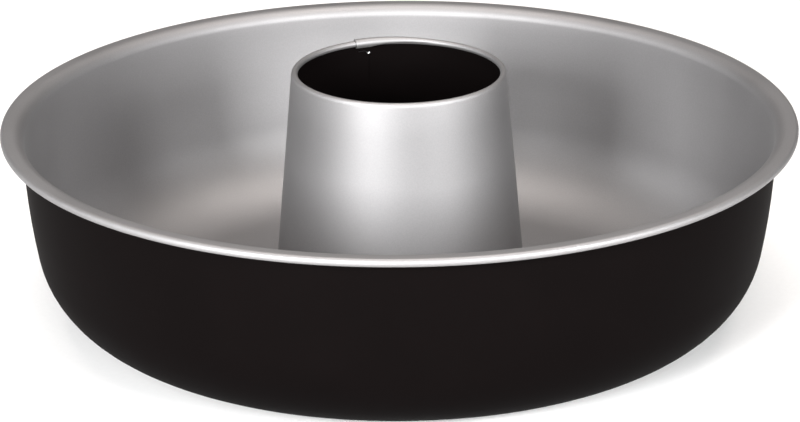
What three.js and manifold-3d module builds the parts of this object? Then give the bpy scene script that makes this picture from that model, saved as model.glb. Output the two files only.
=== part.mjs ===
// Ring cake pan in coated sheet steel. A deep-drawn pan shell has a flanged, curled rim and a raised hub
// with a collar round its centre hole. A conical centre tube is rolled from sheet, lapped at its seam,
// curled inward at the top and hemmed over the collar. Millimetres, +Z up, standing on z = 0 about Z.

import * as THREE from 'three';
import { mergeVertices } from 'three/addons/utils/BufferGeometryUtils.js';
import Module from 'manifold-3d';

// Pan shell
const rimDiameter = 280; // over the curled edge
const panHeight = 72; // resting plane to the top of the flange
const panSheet = 0.6; // sheet thickness
const rimCurlDiameter = 2.9; // outside of the curled edge
const rimCurlTurn = 240; // degrees that the edge is rolled under
const flangeFlat = 2.3; // level band between the curl and the rim bend
const rimBend = 4.4; // inside face, wall to flange
const upperDraft = 1; // degrees off upright where the wall meets the rim bend
const lowerDraft = 10.6; // degrees off upright where the wall meets the corner
const cornerRadius = 33.4; // outside face, base to wall

// Centre hole of the shell
const collarLength = 2.4; // straight lip that the tube's hem grips
const collarBend = 1.3; // underside face, collar to hub
const hubFlat = 5; // level ring round the collar
const hubRamp = 10; // run of the step from the hub down to the base

// Centre tube
const tubeHeight = 89.5; // resting plane to the top of the curl
const tubeTopDiameter = 75.5; // over the curl
const tubeFootDiameter = 90; // outside, where the tube enters the collar
const tubeSheet = 0.5; // sheet thickness
const tubeCurlDiameter = 2.2; // outside of the curled top
const tubeCurlTurn = 240; // degrees that the top is rolled inward
const lapWidth = 6.5; // overlap of the rolled sheet's two ends
const lapAzimuth = 110.5; // degrees from +X about +Z, middle of the overlap

// Fits
const seamClearance = 0.3; // between the collar and each leg of the hem
const tableClearance = 0.5; // hem above the resting plane

// Facets
const sides = 48; // round the axis
const arcTolerance = 0.2; // chord to arc
const widestStep = 30; // degrees of an arc in one chord

// Where the two pieces meet, from the tube outward and from the table upward
const footRadius = tubeFootDiameter / 2;
const collarMiddle = footRadius + seamClearance + panSheet / 2;
const hemGap = panSheet + 2 * seamClearance;
const hemBend = (hemGap + tubeSheet) / 2;
const hemHeight = tableClearance + tubeSheet / 2 + hemBend;
const neckHeight = hemHeight + collarLength;
const hubUnderside = neckHeight + collarBend;
const hubTop = hubUnderside + panSheet;

const degrees = THREE.MathUtils.degToRad;

// The point at an angle on a circle in the (radius, height) plane.
function onCircle(centre, radius, angle) {
  return new THREE.Vector2(
    centre.x + radius * Math.cos(degrees(angle)),
    centre.y + radius * Math.sin(degrees(angle)),
  );
}

// Points along an arc between two angles in degrees, with chords that keep to the tolerance.
function arc(centre, radius, from, to) {
  const finest = THREE.MathUtils.radToDeg(2 * Math.acos(1 - Math.min(arcTolerance / radius, 1)));
  const steps = Math.max(2, Math.ceil(Math.abs(to - from) / Math.min(widestStep, finest)));
  const points = [];
  for (let i = 0; i <= steps; i += 1) {
    points.push(onCircle(centre, radius, from + ((to - from) * i) / steps));
  }
  return points;
}

// A line along the middle of a sheet without the points that repeat where two stretches join.
function joined(...stretches) {
  const points = [];
  for (const point of stretches.flat()) {
    const last = points.at(-1);
    if (!last || last.distanceTo(point) > 1e-4) {
      points.push(point);
    }
  }
  return points;
}

// The line moved sideways by a distance, to the right of its run where the distance is positive.
function movedSideways(line, distance) {
  return line.map((point, i) => {
    const before = i > 0 ? point.clone().sub(line[i - 1]).normalize() : null;
    const after = i < line.length - 1 ? line[i + 1].clone().sub(point).normalize() : null;
    const one = before ?? after;
    const two = after ?? before;
    const mitre = distance / (1 + one.dot(two));
    return new THREE.Vector2(point.x + (one.y + two.y) * mitre, point.y - (one.x + two.x) * mitre);
  });
}

// A layer of sheet turned about Z, between two distances to the right of a line.
function turnedLayer(line, nearSide, farSide) {
  const outline = [...movedSideways(line, farSide), ...movedSideways(line, nearSide).reverse()];
  outline.push(outline[0].clone());
  const geometry = new THREE.LatheGeometry(outline, sides);
  geometry.rotateX(Math.PI / 2);
  return geometry;
}

const wasm = await Module();
wasm.setup();

function toSolid(geometry) {
  geometry.deleteAttribute('normal');
  geometry.deleteAttribute('uv');
  const merged = mergeVertices(geometry, 1e-4);
  return new wasm.Manifold(
    new wasm.Mesh({
      numProp: 3,
      vertProperties: Float32Array.from(merged.attributes.position.array),
      triVerts: Uint32Array.from(merged.index.array),
    }),
  );
}

function toGeometry(solid) {
  const mesh = solid.getMesh();
  const geometry = new THREE.BufferGeometry();
  geometry.setAttribute('position', new THREE.BufferAttribute(mesh.vertProperties, 3));
  geometry.setIndex(new THREE.BufferAttribute(mesh.triVerts, 1));
  geometry.computeVertexNormals();
  return geometry;
}

// The drawn sheet of the pan, from the lower edge of its collar out to the end of its curled rim.
function panShellLine() {
  const half = panSheet / 2;
  const neck = new THREE.Vector2(collarMiddle + collarBend + half, neckHeight);
  const collar = [
    new THREE.Vector2(collarMiddle, hemHeight),
    ...arc(neck, collarBend + half, 180, 90),
  ];

  // The step down to the base is two equal bends.
  const rampStart = neck.x + hubFlat;
  const rampEnd = rampStart + hubRamp;
  const rampAngle = THREE.MathUtils.radToDeg(2 * Math.atan(hubUnderside / hubRamp));
  const rampBend = hubRamp / (2 * Math.sin(degrees(rampAngle)));
  const upperBend = new THREE.Vector2(rampStart, hubUnderside + half - rampBend);
  const lowerBend = new THREE.Vector2(rampEnd, half + rampBend);
  const ramp = [
    ...arc(upperBend, rampBend, 90, 90 - rampAngle),
    ...arc(lowerBend, rampBend, 270 - rampAngle, 270),
  ];

  // The rim is placed from its outer edge inward.
  const curlRadius = rimCurlDiameter / 2;
  const curlCentre = new THREE.Vector2(rimDiameter / 2 - curlRadius, panHeight - curlRadius);
  const rimCentre = new THREE.Vector2(curlCentre.x - flangeFlat, panHeight - rimBend);
  const rim = [
    ...arc(rimCentre, rimBend - half, 180 - upperDraft, 90),
    ...arc(curlCentre, curlRadius - half, 90, 90 - rimCurlTurn),
  ];

  // The wall is one long arc, tangent to the rim bend above it and to the corner below it.
  const wallTop = rim[0];
  const cornerMiddle = cornerRadius - half;
  const lowerSine = Math.sin(degrees(lowerDraft));
  const wallFoot = half + cornerMiddle * (1 - lowerSine);
  const wallRadius = (wallTop.y - wallFoot) / (lowerSine - Math.sin(degrees(upperDraft)));
  const wallCentre = onCircle(wallTop, wallRadius, 180 - upperDraft);
  const wall = arc(wallCentre, wallRadius, -lowerDraft, -upperDraft);
  const cornerCentre = onCircle(wall[0], cornerMiddle, 180 - lowerDraft);
  const corner = arc(cornerCentre, cornerMiddle, -90, -lowerDraft);

  return joined(collar, ramp, corner, wall, rim);
}

function panShell() {
  const half = panSheet / 2;
  return turnedLayer(panShellLine(), -half, half);
}

// The rolled sheet of the tube in two runs: the foot with its hem, and the cone with its curled top.
function centreTubeLines() {
  const half = tubeSheet / 2;
  const footMiddle = footRadius - half;
  const hemCentre = new THREE.Vector2(footMiddle + hemBend, hemHeight);
  const foot = [
    new THREE.Vector2(hemCentre.x + hemBend, neckHeight),
    ...arc(hemCentre, hemBend, 0, -180),
  ];

  // The cone runs from the top of the foot to where it is tangent to the curl.
  const curlRadius = tubeCurlDiameter / 2;
  const curlCentre = new THREE.Vector2(tubeTopDiameter / 2 - curlRadius, tubeHeight - curlRadius);
  const coneFoot = new THREE.Vector2(footMiddle, hubTop);
  const toCurl = curlCentre.clone().sub(coneFoot);
  const heading = toCurl.angle() - Math.asin((curlRadius - half) / toCurl.length());
  const lean = THREE.MathUtils.radToDeg(heading) - 90;
  const cone = [
    coneFoot,
    ...arc(curlCentre, curlRadius - half, lean, lean + tubeCurlTurn),
  ];
  return { foot, cone };
}

// The outer end of the rolled sheet, which laps over the other end from above the hub to the curl.
function seamLap(cone) {
  const [coneFoot, coneTop] = cone;
  const run = coneTop.clone().sub(coneFoot);
  const lapFoot = coneFoot.clone().addScaledVector(run, (2 * tubeSheet) / run.y);
  const layer = turnedLayer([lapFoot, ...cone.slice(1, -1)], 0, tubeSheet * 1.5);
  const reach = tubeFootDiameter;
  const strip = new THREE.BoxGeometry(reach, lapWidth, 4 * tubeHeight);
  strip.translate(reach / 2, 0, 0);
  strip.rotateZ(degrees(lapAzimuth));
  return toSolid(layer).intersect(toSolid(strip));
}

function centreTube() {
  const half = tubeSheet / 2;
  const { foot, cone } = centreTubeLines();
  const ring = toSolid(turnedLayer(joined(foot, cone), -half, half));
  return toGeometry(ring.add(seamLap(cone)));
}

function piece(name, geometry, finish) {
  const mesh = new THREE.Mesh(geometry, new THREE.MeshStandardMaterial(finish));
  mesh.name = name;
  return mesh;
}

const pan = new THREE.Group();
pan.name = 'ring_cake_pan';
pan.add(piece('pan_shell', panShell(), { color: 0x1e1a1b, roughness: 0.5, metalness: 0.1 }));
pan.add(piece('centre_tube', centreTube(), { color: 0xb4b0ad, roughness: 0.38, metalness: 0.9 }));

export default pan;
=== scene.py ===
# Ring cake pan in coated sheet steel: a drawn pan shell and a rolled centre tube, coated black and silver.
# Both sheets are modelled at their real thickness in the place of the two CAD solids.
# Metres, +Z up, and angles in degrees.
import math

import bpy
from mathutils import Matrix, Vector


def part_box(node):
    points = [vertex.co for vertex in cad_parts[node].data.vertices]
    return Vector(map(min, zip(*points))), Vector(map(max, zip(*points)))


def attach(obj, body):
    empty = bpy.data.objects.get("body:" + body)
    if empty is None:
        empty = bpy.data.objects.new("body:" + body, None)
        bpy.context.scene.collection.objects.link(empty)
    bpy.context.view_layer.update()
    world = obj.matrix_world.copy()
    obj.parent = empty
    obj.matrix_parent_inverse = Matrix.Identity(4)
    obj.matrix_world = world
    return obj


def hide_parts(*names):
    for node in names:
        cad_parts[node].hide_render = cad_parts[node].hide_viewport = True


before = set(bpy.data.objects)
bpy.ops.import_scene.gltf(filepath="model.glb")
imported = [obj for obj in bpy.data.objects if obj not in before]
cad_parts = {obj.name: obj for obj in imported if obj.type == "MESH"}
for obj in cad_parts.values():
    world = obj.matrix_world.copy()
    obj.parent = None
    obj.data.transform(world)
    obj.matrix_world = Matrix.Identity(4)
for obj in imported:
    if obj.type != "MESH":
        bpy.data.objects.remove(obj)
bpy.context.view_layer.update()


# Pan shell
# One disc of steel sheet, deep-drawn over a former, so that wall and base meet in a wide round corner.
# The edge is turned out to a narrow flange and curled under. The middle is raised to a hub and pierced,
# and the edge of the hole is turned down to a collar that carries the tube.

MM = 0.001

_, shell_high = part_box("pan_shell")
tube_low, tube_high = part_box("centre_tube")
rim_radius = shell_high.x
pan_height = shell_high.z
pan_sheet = 0.6 * MM
rim_curl_radius = 1.45 * MM
rim_curl_turn = 240
flange_flat = 2.3 * MM
flange_crown = 12 * MM
flange_droop = 4
rim_bend = 4.4 * MM
upper_draft = 1
lower_draft = 10.6
corner_radius = 33.4 * MM

tube_sheet = 0.5 * MM
seam_gap = 0.3 * MM
hem_outside = tube_high.x
hem_bend = (pan_sheet + tube_sheet) / 2 + seam_gap
foot_middle = hem_outside - tube_sheet / 2 - 2 * hem_bend
collar_middle = foot_middle + hem_bend
hem_height = tube_low.z + tube_sheet / 2 + hem_bend
collar_length = 2.4 * MM
neck_height = hem_height + collar_length
collar_bend = 1.6 * MM
hub_height = neck_height + collar_bend
hub_flat = 5 * MM
hub_ramp = 10 * MM

ARC_STEP = 5
FEWEST_ARC_STEPS = 6
STRAIGHT_STEP = 3 * MM
SAME_POINT = 1e-7


def on_circle(centre, radius, angle):
    """The point at an angle in degrees on a circle in the (radius, height) plane."""
    turn = math.radians(angle)
    return centre + Vector((math.cos(turn), math.sin(turn))) * radius


def arc(centre, radius, start, end):
    """Points along an arc between two angles in degrees, close enough for smooth shading."""
    steps = max(FEWEST_ARC_STEPS, round(abs(end - start) / ARC_STEP))
    return [on_circle(centre, radius, start + (end - start) * i / steps) for i in range(steps + 1)]


def sheet_line(*stretches):
    """One line through all the stretches, with the straight runs between them split into short steps."""
    line = []
    for point in (point for stretch in stretches for point in stretch):
        if not line:
            line.append(point)
            continue
        run = point - line[-1]
        if run.length < SAME_POINT:
            continue
        steps = math.ceil(run.length / STRAIGHT_STEP)
        start = line[-1]
        line.extend(start + run * (i + 1) / steps for i in range(steps))
    return line


def shell_line():
    """The middle of the drawn sheet, from the lower edge of the collar to the end of the rim's curl."""
    half = pan_sheet / 2
    neck = Vector((collar_middle + collar_bend, neck_height))
    collar = [Vector((collar_middle, hem_height))] + arc(neck, collar_bend, 180, 90)

    # The step from the hub down to the base is two equal bends.
    drop = hub_height - half
    ramp_start = neck.x + hub_flat
    ramp_angle = math.degrees(2 * math.atan(drop / hub_ramp))
    ramp_bend = hub_ramp / (2 * math.sin(math.radians(ramp_angle)))
    upper_bend = Vector((ramp_start, hub_height - ramp_bend))
    lower_bend = Vector((ramp_start + hub_ramp, half + ramp_bend))
    ramp = arc(upper_bend, ramp_bend, 90, 90 - ramp_angle)
    ramp += arc(lower_bend, ramp_bend, 270 - ramp_angle, 270)

    # The flange leaves the rim bend level and falls off over its crown into the curl.
    curl_reach = rim_radius - rim_curl_radius
    crown_to_curl = flange_crown - rim_curl_radius
    crown_reach = curl_reach - crown_to_curl * math.sin(math.radians(flange_droop))
    crown_centre = Vector((crown_reach, pan_height - flange_crown))
    curl_centre = on_circle(crown_centre, crown_to_curl, 90 - flange_droop)
    rim_centre = Vector((curl_reach - flange_flat, pan_height - rim_bend))
    rim = arc(rim_centre, rim_bend - half, 180 - upper_draft, 90)
    crown = arc(crown_centre, flange_crown - half, 90, 90 - flange_droop)
    curl = arc(curl_centre, rim_curl_radius - half, 90 - flange_droop, 90 - rim_curl_turn)

    # The wall is one long arc, tangent to the rim bend above it and to the corner below it.
    wall_top = rim[0]
    corner_middle = corner_radius - half
    lower_sine = math.sin(math.radians(lower_draft))
    wall_foot = half + corner_middle * (1 - lower_sine)
    wall_radius = (wall_top.y - wall_foot) / (lower_sine - math.sin(math.radians(upper_draft)))
    wall_centre = on_circle(wall_top, wall_radius, 180 - upper_draft)
    wall = arc(wall_centre, wall_radius, -lower_draft, -upper_draft)
    corner_centre = on_circle(wall[0], corner_middle, 180 - lower_draft)
    corner = arc(corner_centre, corner_middle, -90, -lower_draft)
    return sheet_line(collar, ramp, corner, wall, rim, crown, curl)


def linear(hex_colour):
    """An sRGB hex colour as a linear RGBA colour."""
    channels = [int(hex_colour[i:i + 2], 16) / 255 for i in (1, 3, 5)]
    return [c / 12.92 if c <= 0.04045 else ((c + 0.055) / 1.055) ** 2.4 for c in channels] + [1.0]


def add_node(tree, kind, inputs=None, **settings):
    """Add a node with its settings, and fill its inputs with values or with links from other nodes."""
    node = tree.nodes.new(kind)
    for name, value in settings.items():
        setattr(node, name, value)
    for name, value in (inputs or {}).items():
        if isinstance(value, bpy.types.NodeSocket):
            tree.links.new(value, node.inputs[name])
        else:
            node.inputs[name].default_value = value
    return node


def new_material(name):
    """An empty node material with its output, as (material, node tree, output node)."""
    material = bpy.data.materials.new(name)
    material.use_nodes = True
    tree = material.node_tree
    tree.nodes.clear()
    return material, tree, add_node(tree, "ShaderNodeOutputMaterial")


# Black lacquer, roller-coated on the flat sheet and stoved before drawing. The eye sees a dull, slightly
# brown black with a faint orange peel, and a weak sheen that comes up only towards grazing angles.
LACQUER_PEEL = 0.9 * MM
LACQUER_CLOUD = 25 * MM


def black_lacquer():
    material, tree, output = new_material("black_lacquer")
    place = add_node(tree, "ShaderNodeTexCoord").outputs["Object"]
    cloud = add_node(tree, "ShaderNodeTexNoise", {
        "Vector": place, "Scale": 1 / LACQUER_CLOUD, "Detail": 3,
    })
    tone = add_node(tree, "ShaderNodeMix", {
        "Factor": cloud.outputs["Fac"], "A": linear("#080606"), "B": linear("#0B0808"),
    }, data_type="RGBA")
    gloss = add_node(tree, "ShaderNodeMapRange", {
        "Value": cloud.outputs["Fac"], "To Min": 0.54, "To Max": 0.64,
    })
    peel = add_node(tree, "ShaderNodeTexNoise", {
        "Vector": place, "Scale": 1 / LACQUER_PEEL, "Detail": 2,
    })
    bump = add_node(tree, "ShaderNodeBump", {
        "Height": peel.outputs["Fac"], "Strength": 0.12, "Distance": 0.02 * MM,
    })
    shader = add_node(tree, "ShaderNodeBsdfPrincipled", {
        "Base Color": tone.outputs["Result"], "Roughness": gloss.outputs["Result"],
        "Specular IOR Level": 0.012, "Normal": bump.outputs["Normal"],
    })
    tree.links.new(shader.outputs["BSDF"], output.inputs["Surface"])
    return material


# Silver non-stick coat, sprayed over the inside of the sheet. Aluminium flake in a clear binder gives a
# grey metal with broad soft highlights, and the binder darkens it towards grazing angles. The flake is
# drawn coarser than life, at half a millimetre, so that it shows.
FLAKE = 0.5 * MM
SPRAY_CLOUD = 30 * MM


def silver_coat():
    material, tree, output = new_material("silver_nonstick")
    place = add_node(tree, "ShaderNodeTexCoord").outputs["Object"]
    flake = add_node(tree, "ShaderNodeTexNoise", {
        "Vector": place, "Scale": 1 / FLAKE, "Detail": 2,
    })
    cloud = add_node(tree, "ShaderNodeTexNoise", {
        "Vector": place, "Scale": 1 / SPRAY_CLOUD, "Detail": 3,
    })
    tone = add_node(tree, "ShaderNodeMix", {
        "Factor": flake.outputs["Fac"], "A": linear("#979697"), "B": linear("#A3A2A3"),
    }, data_type="RGBA")
    gloss = add_node(tree, "ShaderNodeMapRange", {
        "Value": cloud.outputs["Fac"], "To Min": 0.55, "To Max": 0.65,
    })
    bump = add_node(tree, "ShaderNodeBump", {
        "Height": flake.outputs["Fac"], "Strength": 0.1, "Distance": 0.01 * MM,
    })
    shader = add_node(tree, "ShaderNodeBsdfPrincipled", {
        "Base Color": tone.outputs["Result"], "Roughness": gloss.outputs["Result"],
        "Metallic": 1.0, "Specular Tint": linear("#808080"), "Normal": bump.outputs["Normal"],
    })
    tree.links.new(shader.outputs["BSDF"], output.inputs["Surface"])
    return material


# Sheared mild steel, where the sheet was cut and no coat covers it. The eye sees a thin bright line with
# fine shear marks across it.
SHEAR_MARK = 0.3 * MM


def cut_steel():
    material, tree, output = new_material("sheared_steel")
    place = add_node(tree, "ShaderNodeTexCoord").outputs["Object"]
    marks = add_node(tree, "ShaderNodeTexNoise", {
        "Vector": place, "Scale": 1 / SHEAR_MARK, "Detail": 2,
    })
    gloss = add_node(tree, "ShaderNodeMapRange", {
        "Value": marks.outputs["Fac"], "To Min": 0.2, "To Max": 0.4,
    })
    bump = add_node(tree, "ShaderNodeBump", {
        "Height": marks.outputs["Fac"], "Strength": 0.3, "Distance": 0.02 * MM,
    })
    shader = add_node(tree, "ShaderNodeBsdfPrincipled", {
        "Base Color": linear("#C6C7C8"), "Roughness": gloss.outputs["Result"],
        "Metallic": 1.0, "Normal": bump.outputs["Normal"],
    })
    tree.links.new(shader.outputs["BSDF"], output.inputs["Surface"])
    return material


outside_coat = black_lacquer()
inside_coat = silver_coat()
bare_edge = cut_steel()

HALF_ROW = 0.5
ROW_SLACK = 0.4
WELD = 0.001 * MM


def turned_sheet_tree():
    """Nodes that give a line its sheet thickness and turn it about Z, as a drawn shell is round."""
    tree = bpy.data.node_groups.new("turned_sheet", "GeometryNodeTree")
    for name, kind in (
        ("Line", "NodeSocketGeometry"), ("Sheet", "NodeSocketFloat"), ("Steps round", "NodeSocketInt"),
        ("Outside coat", "NodeSocketMaterial"), ("Inside coat", "NodeSocketMaterial"),
        ("Cut edge", "NodeSocketMaterial"),
    ):
        tree.interface.new_socket(name, in_out="INPUT", socket_type=kind)
    tree.interface.new_socket("Shell", in_out="OUTPUT", socket_type="NodeSocketGeometry")
    given = add_node(tree, "NodeGroupInput").outputs

    # A flat grid has one row for each point of the outline, which runs out along one face of the sheet and
    # back along the other.
    points = add_node(tree, "GeometryNodeAttributeDomainSize", {
        "Geometry": given["Line"],
    }, component="CURVE").outputs["Point Count"]
    faces = add_node(tree, "ShaderNodeMath", {0: points, 1: 2.0}, operation="MULTIPLY").outputs[0]
    rows = add_node(tree, "ShaderNodeMath", {0: faces, 1: 1.0}).outputs[0]
    columns = add_node(tree, "ShaderNodeMath", {0: given["Steps round"], 1: 1.0}).outputs[0]
    grid = add_node(tree, "GeometryNodeMeshGrid", {
        "Size X": 1.0, "Size Y": 1.0, "Vertices X": columns, "Vertices Y": rows,
    })
    flat = add_node(tree, "GeometryNodeInputPosition").outputs[0]
    flat = add_node(tree, "ShaderNodeVectorMath", {0: flat, 1: (0.5, 0.5, 0.0)}, operation="ADD").outputs[0]
    flat = add_node(tree, "ShaderNodeSeparateXYZ", {0: flat}).outputs
    row = add_node(tree, "ShaderNodeMath", {0: flat["Y"], 1: faces}, operation="MULTIPLY").outputs[0]

    # Faces of the grid are marked 0 outside, 1 inside and 2 on the two cut edges. The middle of a face lies
    # half a row from the rows beside it.
    before = add_node(tree, "ShaderNodeMath", {0: points, 1: 1.0}, operation="SUBTRACT").outputs[0]
    inside = add_node(tree, "ShaderNodeMath", {0: row, 1: before}, operation="GREATER_THAN").outputs[0]
    first_cut = add_node(tree, "ShaderNodeMath", {0: row, 1: before}, operation="SUBTRACT").outputs[0]
    first_cut = add_node(tree, "ShaderNodeMath", {
        0: first_cut, 1: HALF_ROW, 2: ROW_SLACK,
    }, operation="COMPARE").outputs[0]
    last_cut = add_node(tree, "ShaderNodeMath", {0: row, 1: faces}, operation="SUBTRACT").outputs[0]
    last_cut = add_node(tree, "ShaderNodeMath", {
        0: last_cut, 1: -HALF_ROW, 2: ROW_SLACK,
    }, operation="COMPARE").outputs[0]
    cut = add_node(tree, "ShaderNodeMath", {0: first_cut, 1: last_cut}, operation="MAXIMUM").outputs[0]
    cut = add_node(tree, "ShaderNodeMath", {0: cut, 1: 2.0}, operation="MULTIPLY").outputs[0]
    mark = add_node(tree, "ShaderNodeMath", {0: inside, 1: cut}, operation="MAXIMUM").outputs[0]
    marked = add_node(tree, "GeometryNodeStoreNamedAttribute", {
        "Geometry": grid.outputs["Mesh"], "Name": "coat", "Value": mark,
    }, data_type="FLOAT", domain="FACE")

    # Each row takes its point on the line, moved half a sheet to its side, and is turned by its column.
    whole = add_node(tree, "ShaderNodeMath", {0: row}, operation="ROUND").outputs[0]
    last = add_node(tree, "ShaderNodeMath", {0: faces, 1: 1.0}, operation="SUBTRACT").outputs[0]
    back = add_node(tree, "ShaderNodeMath", {0: last, 1: whole}, operation="SUBTRACT").outputs[0]
    step = add_node(tree, "ShaderNodeMath", {0: whole, 1: back}, operation="MINIMUM").outputs[0]
    step = add_node(tree, "ShaderNodeMath", {0: step, 1: 0.0}, operation="MAXIMUM").outputs[0]
    along = add_node(tree, "GeometryNodeInputTangent").outputs["Tangent"]
    across = add_node(tree, "ShaderNodeVectorMath", {
        0: (0.0, 1.0, 0.0), 1: along,
    }, operation="CROSS_PRODUCT")
    where = add_node(tree, "GeometryNodeInputPosition").outputs[0]
    line_point = add_node(tree, "GeometryNodeSampleIndex", {
        "Geometry": given["Line"], "Value": where, "Index": step,
    }, data_type="FLOAT_VECTOR", domain="POINT")
    line_side = add_node(tree, "GeometryNodeSampleIndex", {
        "Geometry": given["Line"], "Value": across.outputs[0], "Index": step,
    }, data_type="FLOAT_VECTOR", domain="POINT")
    returning = add_node(tree, "ShaderNodeMath", {0: back, 1: whole}, operation="LESS_THAN").outputs[0]
    closing = add_node(tree, "ShaderNodeMath", {0: back, 1: 0.0}, operation="LESS_THAN").outputs[0]
    side = add_node(tree, "ShaderNodeMath", {0: closing, 1: returning}, operation="SUBTRACT").outputs[0]
    side = add_node(tree, "ShaderNodeMath", {0: side, 1: 0.5}, operation="ADD").outputs[0]
    side = add_node(tree, "ShaderNodeMath", {
        0: side, 1: given["Sheet"],
    }, operation="MULTIPLY").outputs[0]
    shift = add_node(tree, "ShaderNodeVectorMath", {
        0: line_side.outputs["Value"], "Scale": side,
    }, operation="SCALE")
    point = add_node(tree, "ShaderNodeVectorMath", {
        0: line_point.outputs["Value"], 1: shift.outputs[0],
    }, operation="ADD")
    angle = add_node(tree, "ShaderNodeMath", {0: flat["X"], 1: 2 * math.pi}, operation="MULTIPLY")
    turned = add_node(tree, "ShaderNodeVectorRotate", {
        "Vector": point.outputs[0], "Angle": angle.outputs[0],
    }, rotation_type="Z_AXIS")
    placed = add_node(tree, "GeometryNodeSetPosition", {
        "Geometry": marked.outputs["Geometry"], "Position": turned.outputs[0],
    })
    closed = add_node(tree, "GeometryNodeMergeByDistance", {
        "Geometry": placed.outputs["Geometry"], "Distance": WELD,
    })
    smooth = add_node(tree, "GeometryNodeSetShadeSmooth", {"Geometry": closed.outputs["Geometry"]})
    result = add_node(tree, "GeometryNodeRealizeInstances", {"Geometry": smooth.outputs["Geometry"]})

    # The outside coat goes on all faces, and the other two finishes on the faces marked for them.
    coat = add_node(tree, "GeometryNodeInputNamedAttribute", {"Name": "coat"}, data_type="FLOAT")
    finished = add_node(tree, "GeometryNodeSetMaterial", {
        "Geometry": result.outputs["Geometry"], "Material": given["Outside coat"],
    })
    for mark, name in ((1.0, "Inside coat"), (2.0, "Cut edge")):
        chosen = add_node(tree, "ShaderNodeMath", {
            0: coat.outputs["Attribute"], 1: mark, 2: 0.5,
        }, operation="COMPARE")
        finished = add_node(tree, "GeometryNodeSetMaterial", {
            "Geometry": finished.outputs["Geometry"], "Selection": chosen.outputs[0],
            "Material": given[name],
        })
    add_node(tree, "NodeGroupOutput", {"Shell": finished.outputs["Geometry"]})
    return tree


def plain_mesh(piece):
    """Turn a piece's evaluated modifiers into its own plain mesh, on a new object of the same name."""
    name = piece.name
    evaluated = piece.evaluated_get(bpy.context.evaluated_depsgraph_get())
    mesh = bpy.data.meshes.new_from_object(evaluated)
    bpy.data.objects.remove(piece)
    # A curve hands on an empty slot before the coats.
    while mesh.materials[0] is None:
        mesh.materials.pop(index=0)
    mesh.name = name
    finished = bpy.data.objects.new(name, mesh)
    bpy.context.scene.collection.objects.link(finished)
    return finished


CUT_CORNER = math.radians(40)
SHELL_STEPS = 288

shell_curve = bpy.data.curves.new("pan_shell_sheet", "CURVE")
shell_curve.dimensions = "3D"
middle = shell_line()
spline = shell_curve.splines.new("POLY")
spline.points.add(len(middle) - 1)
for knot, point in zip(spline.points, middle):
    knot.co = (point.x, 0.0, point.y, 1.0)
pan_shell = bpy.data.objects.new("pan_shell_sheet", shell_curve)
bpy.context.scene.collection.objects.link(pan_shell)
turning = pan_shell.modifiers.new("turned_sheet", "NODES")
turning.node_group = turned_sheet_tree()
shell_sizes = {
    "Sheet": pan_sheet, "Steps round": SHELL_STEPS,
    "Outside coat": outside_coat, "Inside coat": inside_coat, "Cut edge": bare_edge,
}
for socket in turning.node_group.interface.items_tree:
    if socket.name in shell_sizes:
        turning[socket.identifier] = shell_sizes[socket.name]
pan_shell = plain_mesh(pan_shell)
pan_shell.data.set_sharp_from_angle(angle=CUT_CORNER)
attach(pan_shell, "root")
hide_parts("pan_shell")


# Centre tube
# One strip of coated sheet, silver outside and black inside, rolled into a cone until its ends lap, and
# spot-welded. The top is curled inward over a small shoulder, and the inner end of the lap is notched under
# the curl. The foot passes down through the collar and is folded up round it as a hem.

tube_height = tube_high.z - tube_sheet
tube_top_radius = 37.75 * MM
tube_curl_radius = 1.1 * MM
tube_curl_end = 245
shoulder_radius = 3 * MM
shoulder_end = 20
cone_foot_height = hub_height + pan_sheet / 2
lap_azimuth = 115.4
lap_angle = 8.8
joggle_angle = 4
settle_angle = 45
curl_settle_angle = 4
lap_proud_on_cone = 0.26 * MM
lap_proud_on_curl = 0.6 * MM
lap_gap = 0.03 * MM
lap_foot_height = cone_foot_height + 7 * MM
lap_rise_height = tube_height - 17.9 * MM
notch_top = tube_height - 2.9 * MM
notch_foot = tube_height - 4.6 * MM
notch_angle = 6
ear_height = 0.8 * MM
ear_angle = 2
ear_fold = 70
TUBE_STEPS = 240
JOGGLE_STEPS = 8
CURL_STEPS = 30
CURL_UNDERSIDE = 0.6
BUTT_GAP = 0.1
SILVER, BLACK, BARE = range(3)


def smooth_step(value, start, end):
    """0 before start and 1 after end, easing between them."""
    share = min(max((value - start) / (end - start), 0.0), 1.0)
    return share * share * (3 - 2 * share)


def tube_line():
    """The middle of the rolled sheet from the top of its hem, down, up the cone and round the curl."""
    hem_centre = Vector((collar_middle, hem_height))
    hem = [Vector((hem_centre.x + hem_bend, neck_height))] + arc(hem_centre, hem_bend, 0, -180)
    curl_centre = Vector((tube_top_radius - tube_curl_radius, tube_height - tube_curl_radius))
    curl_middle = tube_curl_radius - tube_sheet / 2
    shoulder_centre = on_circle(curl_centre, curl_middle - shoulder_radius, shoulder_end)
    cone_foot = Vector((foot_middle, cone_foot_height))
    to_shoulder = shoulder_centre - cone_foot
    heading = math.atan2(to_shoulder.y, to_shoulder.x) - math.asin(shoulder_radius / to_shoulder.length)
    lean = math.degrees(heading) - 90
    shoulder = arc(shoulder_centre, shoulder_radius, lean, shoulder_end)
    stops = [cone_foot.lerp(shoulder[0], (height - cone_foot.y) / (shoulder[0].y - cone_foot.y))
             for height in (lap_foot_height, notch_foot - ear_height, notch_foot, notch_top)]
    turn = tube_curl_end - shoulder_end
    curl = [on_circle(curl_centre, curl_middle, shoulder_end + turn * i / CURL_STEPS)
            for i in range(CURL_STEPS + 1)]
    return sheet_line(hem, [cone_foot], stops, shoulder, curl)


def right_of(line):
    """Unit vectors to the right of the line at each of its points, where the tube is silver."""
    sides = []
    for i in range(len(line)):
        run = line[min(i + 1, len(line) - 1)] - line[max(i - 1, 0)]
        sides.append(Vector((run.y, -run.x)).normalized())
    return sides


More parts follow.
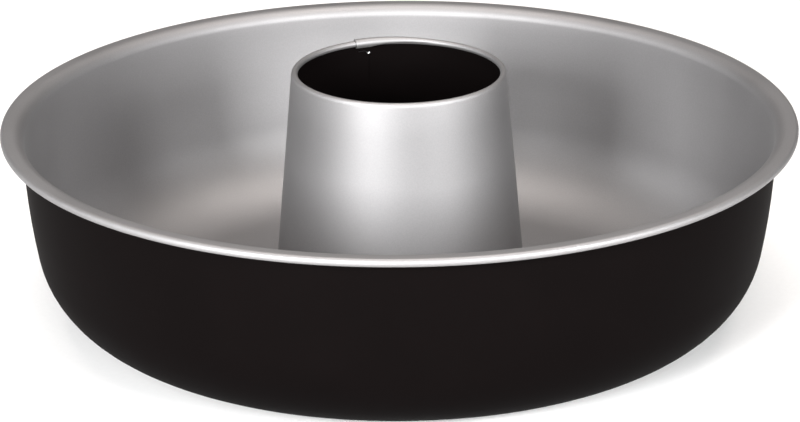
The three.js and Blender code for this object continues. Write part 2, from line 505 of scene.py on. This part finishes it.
def row_at(line, height):
    """The row of the cone at a height that is one of its stops."""
    cone_rows = range(len(line) - CURL_STEPS - 1)
    return min(cone_rows, key=lambda i: abs(line[i].y - height) + (line[i].x > foot_middle))


def rolled_tube():
    """The rolled strip as one closed mesh, round from the lap's outer end and on under it to the inner."""
    line = tube_line()
    sides = right_of(line)
    rows = len(line)
    lap_row = row_at(line, lap_foot_height)
    ear_row = row_at(line, notch_foot - ear_height)
    notch_rows = range(row_at(line, notch_foot), row_at(line, notch_top))
    curl_row = rows - CURL_STEPS - 1

    # Columns run round the strip, by their angle from its outer end, and are closer where it steps.
    lap_end = 360 + lap_angle
    travel = [360 * i / TUBE_STEPS for i in range(TUBE_STEPS)]
    travel += [360 - BUTT_GAP, 360, lap_end - notch_angle, lap_end - ear_angle]
    stepped = ((360 - joggle_angle, joggle_angle), (360, lap_angle), (lap_angle, curl_settle_angle))
    for begin, width in stepped:
        travel += [begin + width * (i + 1) / JOGGLE_STEPS for i in range(JOGGLE_STEPS)]
    travel = sorted(set(round(angle, 3) for angle in travel))

    # The outer end stands proud, most of all near the top, and settles back onto the cone, sooner on the
    # underside of the curl. The inner end is joggled in under it, and its ear below the notch is folded in.
    points = []
    for angle in travel:
        inner_end = smooth_step(angle, 360 - joggle_angle, 360)
        fold = math.radians(ear_fold) * smooth_step(angle, lap_end - ear_angle, lap_end - ear_angle / 2)
        azimuth = math.radians(lap_azimuth - angle)
        for row, (point, side) in enumerate(zip(line, sides)):
            above_hub = smooth_step(point.y, cone_foot_height, lap_foot_height)
            near_top = smooth_step(point.y, lap_rise_height, notch_top)
            proud = lap_proud_on_cone + (lap_proud_on_curl - lap_proud_on_cone) * near_top
            sunk = max(tube_sheet + lap_gap - proud, 0.0)
            under_curl = smooth_step((row - curl_row) / CURL_STEPS, CURL_UNDERSIDE, 1.0)
            settle = settle_angle + (curl_settle_angle - settle_angle) * under_curl
            outer_end = 1 - smooth_step(angle, lap_angle, lap_angle + settle)
            shift = (outer_end * proud - inner_end * sunk) * above_hub
            ear = fold if ear_row < row <= notch_rows.start else 0.0
            bent = point.y - line[ear_row].y
            for face in (0.5, -0.5):
                spot = point + side * (shift + face * tube_sheet * math.cos(ear))
                spot.x -= bent * math.sin(ear)
                spot.y -= bent * (1 - math.cos(ear)) - face * tube_sheet * math.sin(ear)
                points.append((spot.x * math.cos(azimuth), spot.x * math.sin(azimuth), spot.y))

    def corner(column, row, inner):
        """The index of a point, on the silver face or on the inner one."""
        return (column * rows + row) * 2 + inner

    def filled(column, row):
        """Whether there is sheet: the strip ends short of its start below the lap, and has its notch."""
        if not (0 <= column < len(travel) - 1 and 0 <= row < rows - 1):
            return False
        if travel[column] > 360 - 2 * BUTT_GAP and row < lap_row:
            return False
        return not (travel[column] > lap_end - notch_angle - BUTT_GAP and row in notch_rows)

    # Each patch of sheet has a silver face and a black one, and a bare edge wherever no patch goes on.
    faces, coats = [], []
    for column in range(len(travel) - 1):
        for row in range(rows - 1):
            if not filled(column, row):
                continue
            near, far = column, column + 1
            faces.append([corner(near, row, 0), corner(near, row + 1, 0),
                          corner(far, row + 1, 0), corner(far, row, 0)])
            faces.append([corner(near, row, 1), corner(far, row, 1),
                          corner(far, row + 1, 1), corner(near, row + 1, 1)])
            coats += [SILVER, BLACK]
            edges = (
                (filled(column - 1, row), (near, row), (near, row + 1)),
                (filled(column + 1, row), (far, row + 1), (far, row)),
                (filled(column, row - 1), (far, row), (near, row)),
                (filled(column, row + 1), (near, row + 1), (far, row + 1)),
            )
            for shared, one, two in edges:
                if not shared:
                    faces.append([corner(*one, 1), corner(*two, 1), corner(*two, 0), corner(*one, 0)])
                    coats.append(BARE)

    # Points that no face uses are left out.
    used = sorted({index for face in faces for index in face})
    place = {index: i for i, index in enumerate(used)}
    mesh = bpy.data.meshes.new("centre_tube_sheet")
    mesh.from_pydata([points[i] for i in used], [], [[place[i] for i in face] for face in faces])
    for coat in (inside_coat, outside_coat, bare_edge):
        mesh.materials.append(coat)
    mesh.polygons.foreach_set("material_index", coats)
    mesh.polygons.foreach_set("use_smooth", [True] * len(faces))
    mesh.update()
    mesh.set_sharp_from_angle(angle=CUT_CORNER)
    return mesh


centre_tube = bpy.data.objects.new("centre_tube_sheet", rolled_tube())
bpy.context.scene.collection.objects.link(centre_tube)
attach(centre_tube, "root")
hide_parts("centre_tube")


# Studio
# A plain white table under soft lamps: a key from the front left and a fill from the front right, each with
# a weaker one beside it, a small one over the camera, a weak one at the left, and a broad, slightly warm one
# overhead.

WHITE = linear("#FFFFFF")

# Matt white laminate. The eye sees plain white with a soft shadow, and hardly its mottle. A weak glow, for
# the camera and in reflections only, lifts it to white without more light on the pan.
TABLE_MOTTLE = 2 * MM
TABLE_GLOW = 0.16


def table_top():
    material, tree, output = new_material("white_laminate")
    path = add_node(tree, "ShaderNodeLightPath").outputs
    seen = add_node(tree, "ShaderNodeMath", {
        0: path["Is Camera Ray"], 1: path["Is Glossy Ray"],
    }, operation="MAXIMUM")
    seen = add_node(tree, "ShaderNodeMath", {
        0: seen.outputs[0], 1: path["Is Transmission Ray"],
    }, operation="MAXIMUM")
    glow = add_node(tree, "ShaderNodeMath", {0: seen.outputs[0], 1: TABLE_GLOW}, operation="MULTIPLY")
    place = add_node(tree, "ShaderNodeTexCoord").outputs["Object"]
    mottle = add_node(tree, "ShaderNodeTexNoise", {
        "Vector": place, "Scale": 1 / TABLE_MOTTLE, "Detail": 2,
    })
    tone = add_node(tree, "ShaderNodeMix", {
        "Factor": mottle.outputs["Fac"], "A": linear("#E4E4E4"), "B": linear("#EAEAEA"),
    }, data_type="RGBA")
    shader = add_node(tree, "ShaderNodeBsdfPrincipled", {
        "Base Color": tone.outputs["Result"], "Roughness": 0.9, "Specular IOR Level": 0.0,
        "Emission Color": WHITE, "Emission Strength": glow.outputs[0],
    })
    tree.links.new(shader.outputs["BSDF"], output.inputs["Surface"])
    return material


TABLE_HALF = 3.0
TABLE_TOP = -0.05 * MM
table_mesh = bpy.data.meshes.new("table")
table_corners = [(-TABLE_HALF, -TABLE_HALF, TABLE_TOP), (TABLE_HALF, -TABLE_HALF, TABLE_TOP),
                 (TABLE_HALF, TABLE_HALF, TABLE_TOP), (-TABLE_HALF, TABLE_HALF, TABLE_TOP)]
table_mesh.from_pydata(table_corners, [], [(0, 1, 2, 3)])
table_mesh.materials.append(table_top())
table = bpy.data.objects.new("table", table_mesh)
bpy.context.scene.collection.objects.link(table)

AMBIENT = 0.06
world = bpy.data.worlds.new("studio")
world.use_nodes = True
world.node_tree.nodes.clear()
sky = add_node(world.node_tree, "ShaderNodeBackground", {"Color": WHITE, "Strength": AMBIENT})
add_node(world.node_tree, "ShaderNodeOutputWorld", {"Surface": sky.outputs["Background"]})
bpy.context.scene.world = world


LAMP_DISTANCE = 1.5


def soft_lamp(name, azimuth, elevation, width, height, power, colour="#FFFFFF"):
    """A soft lamp aimed at the pan. Azimuth is 0 at the camera's side and grows to the right."""
    side, lift = math.radians(azimuth), math.radians(elevation)
    aim = Vector((0, 0, pan_height / 2))
    towards = Vector((math.sin(side) * math.cos(lift), -math.cos(side) * math.cos(lift), math.sin(lift)))
    data = bpy.data.lights.new(name, "AREA")
    data.shape = "RECTANGLE"
    data.size = width
    data.size_y = height
    data.energy = power
    data.color = linear(colour)[:3]
    lamp = bpy.data.objects.new(name, data)
    lamp.location = aim + towards * LAMP_DISTANCE
    lamp.rotation_euler = towards.to_track_quat("Z", "Y").to_euler()
    bpy.context.scene.collection.objects.link(lamp)


soft_lamp("key_lamp", -27, 17, 0.4, 0.5, 39)
soft_lamp("key_side_lamp", -51, 20, 0.3, 0.5, 3.6)
soft_lamp("front_lamp", 4, 26, 0.4, 0.3, 5)
soft_lamp("fill_lamp", 42, 18, 0.5, 0.5, 24.5)
soft_lamp("fill_side_lamp", 68, 18, 0.3, 0.4, 3.5)
soft_lamp("left_lamp", -90, 20, 0.4, 0.6, 4.8)
soft_lamp("top_lamp", 90, 87, 0.6, 1.7, 23, "#FFF7F1")

# The camera stands in front at the photograph's height, with a long lens.
IMAGE_WIDTH = 800
SENSOR = 36.0
camera_distance = 1.337
camera_elevation = 20.342
camera_roll = -0.438
camera_aim = Vector((0, 0, 36.7 * MM))
focal_pixels = 3762.5

lift = math.radians(camera_elevation)
roll = math.radians(camera_roll)
back = Vector((0, -math.cos(lift), math.sin(lift)))
level_right = Vector((1, 0, 0))
level_up = back.cross(level_right)
right = level_right * math.cos(roll) + level_up * math.sin(roll)
up = level_up * math.cos(roll) - level_right * math.sin(roll)
camera_data = bpy.data.cameras.new("camera")
camera_data.sensor_width = SENSOR
camera_data.lens = focal_pixels / IMAGE_WIDTH * SENSOR
camera_data.clip_end = 20
camera = bpy.data.objects.new("camera", camera_data)
turn = Matrix((right, up, back)).transposed().to_4x4()
camera.matrix_world = Matrix.Translation(camera_aim + back * camera_distance) @ turn
bpy.context.scene.collection.objects.link(camera)
bpy.context.scene.camera = camera
bpy.context.scene.view_settings.view_transform = "Standard"
